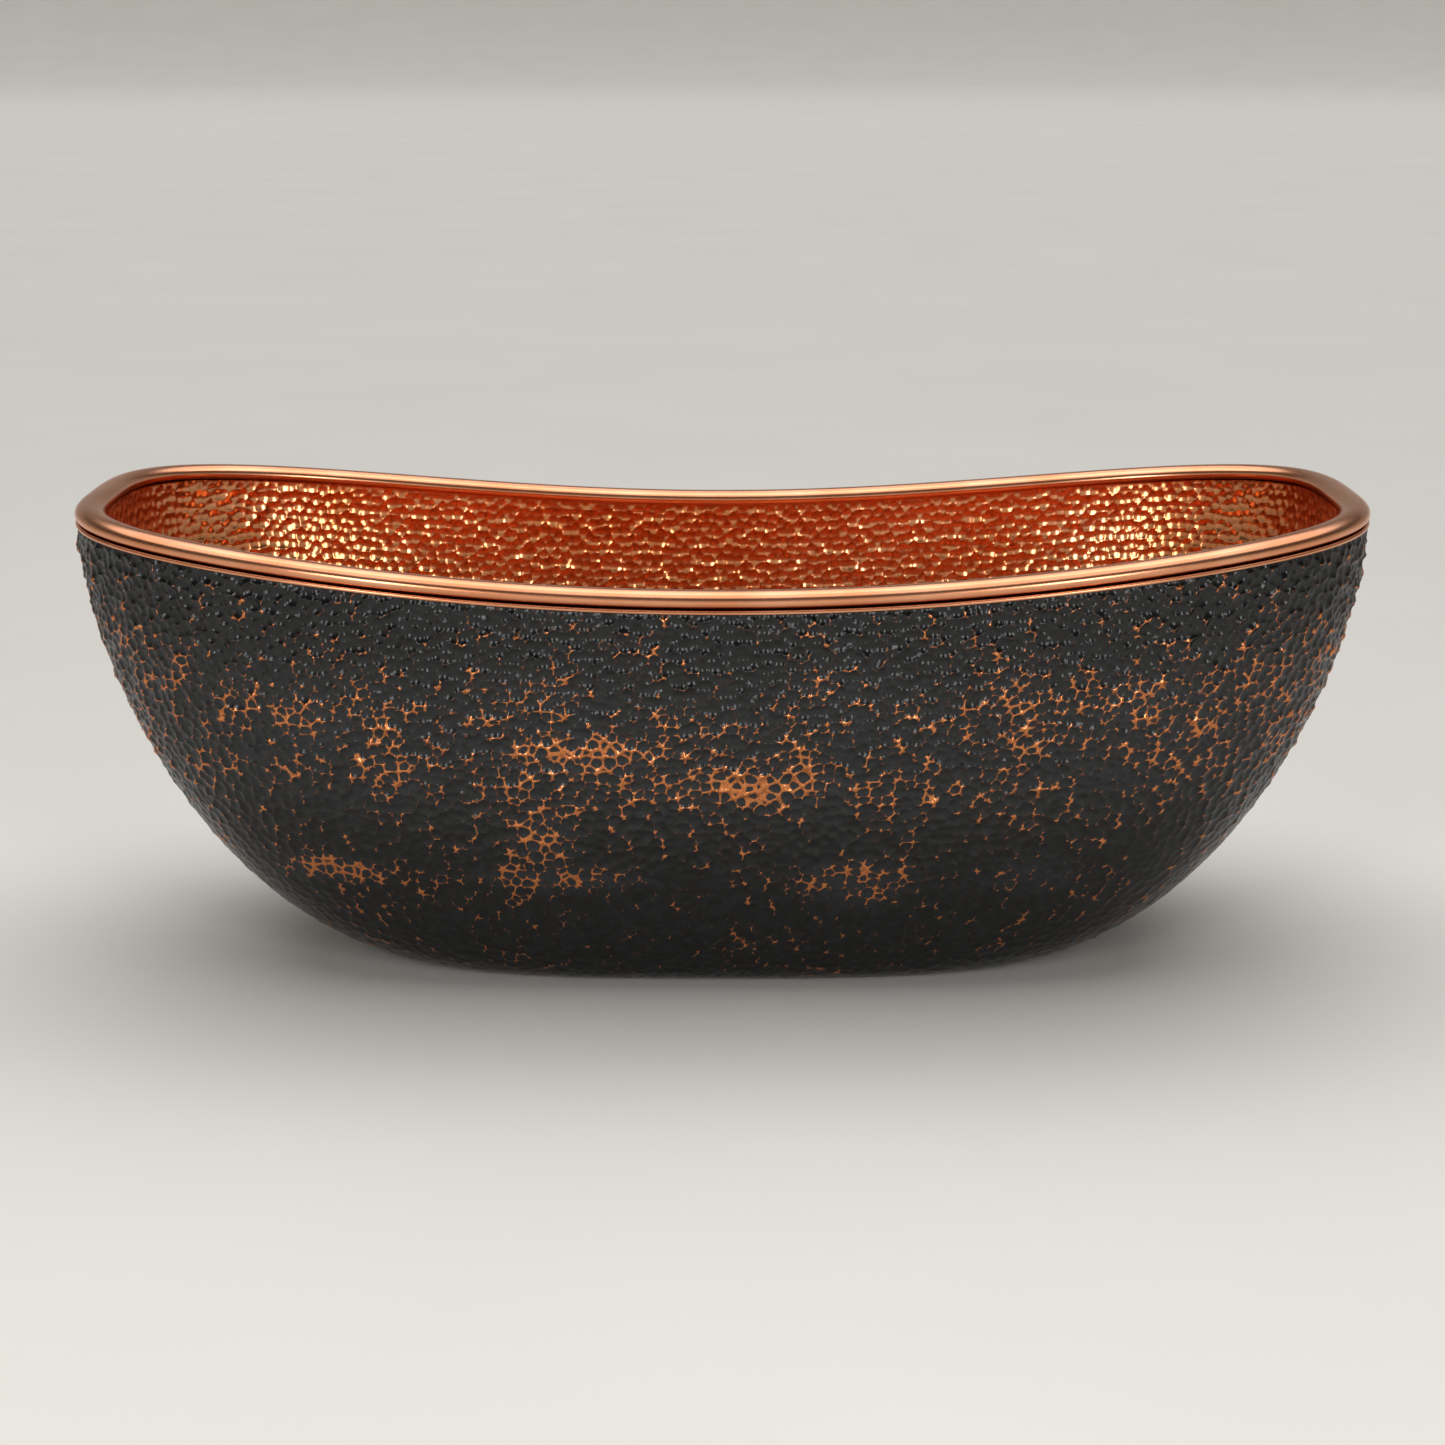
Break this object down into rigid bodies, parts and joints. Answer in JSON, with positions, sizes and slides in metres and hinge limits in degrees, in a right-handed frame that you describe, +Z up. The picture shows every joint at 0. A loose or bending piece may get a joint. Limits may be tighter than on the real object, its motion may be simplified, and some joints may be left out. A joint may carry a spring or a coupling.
{
  "type": "freestanding bathtub",
  "caption": "Double-walled hammered copper bathtub with a saddle-shaped rolled rim, hidden levelling feet and a centre waste with a lift-up stopper.",
  "frame": {"origin": "on the floor, under the middle of the tub", "axes": "+X along the tub, -Y towards its front side, +Z up"},
  "size_m": [1.829, 0.84, 0.6569],
  "materials": {
    "outer_patinated_copper": "hammered copper, chemically darkened, ridges brushed back to copper in patches",
    "basin_hammered_copper": "hammered and polished copper",
    "polished_copper": "rolled, polished smooth and lightly brushed",
    "galvanised_steel": "hot-dip galvanised",
    "zinc_plated_steel": "bright zinc plate",
    "black_rubber": "matte moulded rubber",
    "black_nylon": "moulded nylon",
    "drain_brass": "cast brass with a copper-coloured finish",
    "spring_steel": "drawn spring wire"
  },
  "bodies": {
    "tub": {"upper_front_skin": "outer_patinated_copper", "upper_back_skin": "outer_patinated_copper", "lower_front_skin": "outer_patinated_copper", "lower_back_skin": "outer_patinated_copper", "base_bowl": "outer_patinated_copper", "basin_floor": "basin_hammered_copper", "basin_left_end": "basin_hammered_copper", "basin_right_end": "basin_hammered_copper", "basin_front": "basin_hammered_copper", "basin_back": "basin_hammered_copper", "rim_roll": "polished_copper", "rim_bead": "polished_copper", "rim_core": "galvanised_steel", "base_plate": "galvanised_steel", "front_rail": "galvanised_steel", "back_rail": "galvanised_steel", "cross_members": "galvanised_steel", "left_outer_saddle": "galvanised_steel", "left_inner_saddle": "galvanised_steel", "right_inner_saddle": "galvanised_steel", "right_outer_saddle": "galvanised_steel", "foot_bushes": "galvanised_steel", "lock_nuts": "zinc_plated_steel", "saddle_pads": "black_rubber", "flange_gasket": "black_rubber", "under_gasket": "black_rubber", "tail_washer": "black_rubber", "waste_body": "drain_brass", "waste_nut": "drain_brass", "slip_nut": "drain_brass", "tailpiece": "drain_brass", "stopper_post": "drain_brass", "friction_washer": "drain_brass", "stopper_spring": "spring_steel"},
    "stopper": {"stopper_cap": "drain_brass", "stopper_sleeve": "drain_brass", "stopper_seal": "black_rubber"},
    "front_left_pad": {"front_left_pad": "black_nylon"},
    "front_left_stud": {"front_left_stud": "zinc_plated_steel"},
    "front_right_pad": {"front_right_pad": "black_nylon"},
    "front_right_stud": {"front_right_stud": "zinc_plated_steel"},
    "back_left_pad": {"back_left_pad": "black_nylon"},
    "back_left_stud": {"back_left_stud": "zinc_plated_steel"},
    "back_right_pad": {"back_right_pad": "black_nylon"},
    "back_right_stud": {"back_right_stud": "zinc_plated_steel"}
  },
  "joints": [
    {"name": "stopper_lift", "type": "slide", "parent": "tub", "child": "stopper", "axis": [0, 0, 1], "range_m": [0, 0.009], "deforming": ["stopper_spring"]},
    {"name": "front_left_foot_lift", "type": "slide", "parent": "tub", "child": "front_left_pad", "axis": [0, 0, -1], "range_m": [0, 0.015]},
    {"name": "front_left_stud_turn", "type": "hinge", "parent": "front_left_pad", "child": "front_left_stud", "pos_m": [-0.38, -0.15, 0.03], "axis": [0, 0, -1], "range_deg": [0, 3085]},
    {"name": "front_right_foot_lift", "type": "slide", "parent": "tub", "child": "front_right_pad", "axis": [0, 0, -1], "range_m": [0, 0.015]},
    {"name": "front_right_stud_turn", "type": "hinge", "parent": "front_right_pad", "child": "front_right_stud", "pos_m": [0.38, -0.15, 0.03], "axis": [0, 0, -1], "range_deg": [0, 3085]},
    {"name": "back_left_foot_lift", "type": "slide", "parent": "tub", "child": "back_left_pad", "axis": [0, 0, -1], "range_m": [0, 0.015]},
    {"name": "back_left_stud_turn", "type": "hinge", "parent": "back_left_pad", "child": "back_left_stud", "pos_m": [-0.38, 0.15, 0.03], "axis": [0, 0, -1], "range_deg": [0, 3085]},
    {"name": "back_right_foot_lift", "type": "slide", "parent": "tub", "child": "back_right_pad", "axis": [0, 0, -1], "range_m": [0, 0.015]},
    {"name": "back_right_stud_turn", "type": "hinge", "parent": "back_right_pad", "child": "back_right_stud", "pos_m": [0.38, 0.15, 0.03], "axis": [0, 0, -1], "range_deg": [0, 3085]}
  ],
  "couplings": [
    {"joint": "front_left_stud_turn", "follows": "front_left_foot_lift", "rad_per_m": 3590.4},
    {"joint": "front_right_stud_turn", "follows": "front_right_foot_lift", "rad_per_m": 3590.4},
    {"joint": "back_left_stud_turn", "follows": "back_left_foot_lift", "rad_per_m": 3590.4},
    {"joint": "back_right_stud_turn", "follows": "back_right_foot_lift", "rad_per_m": 3590.4}
  ]
}
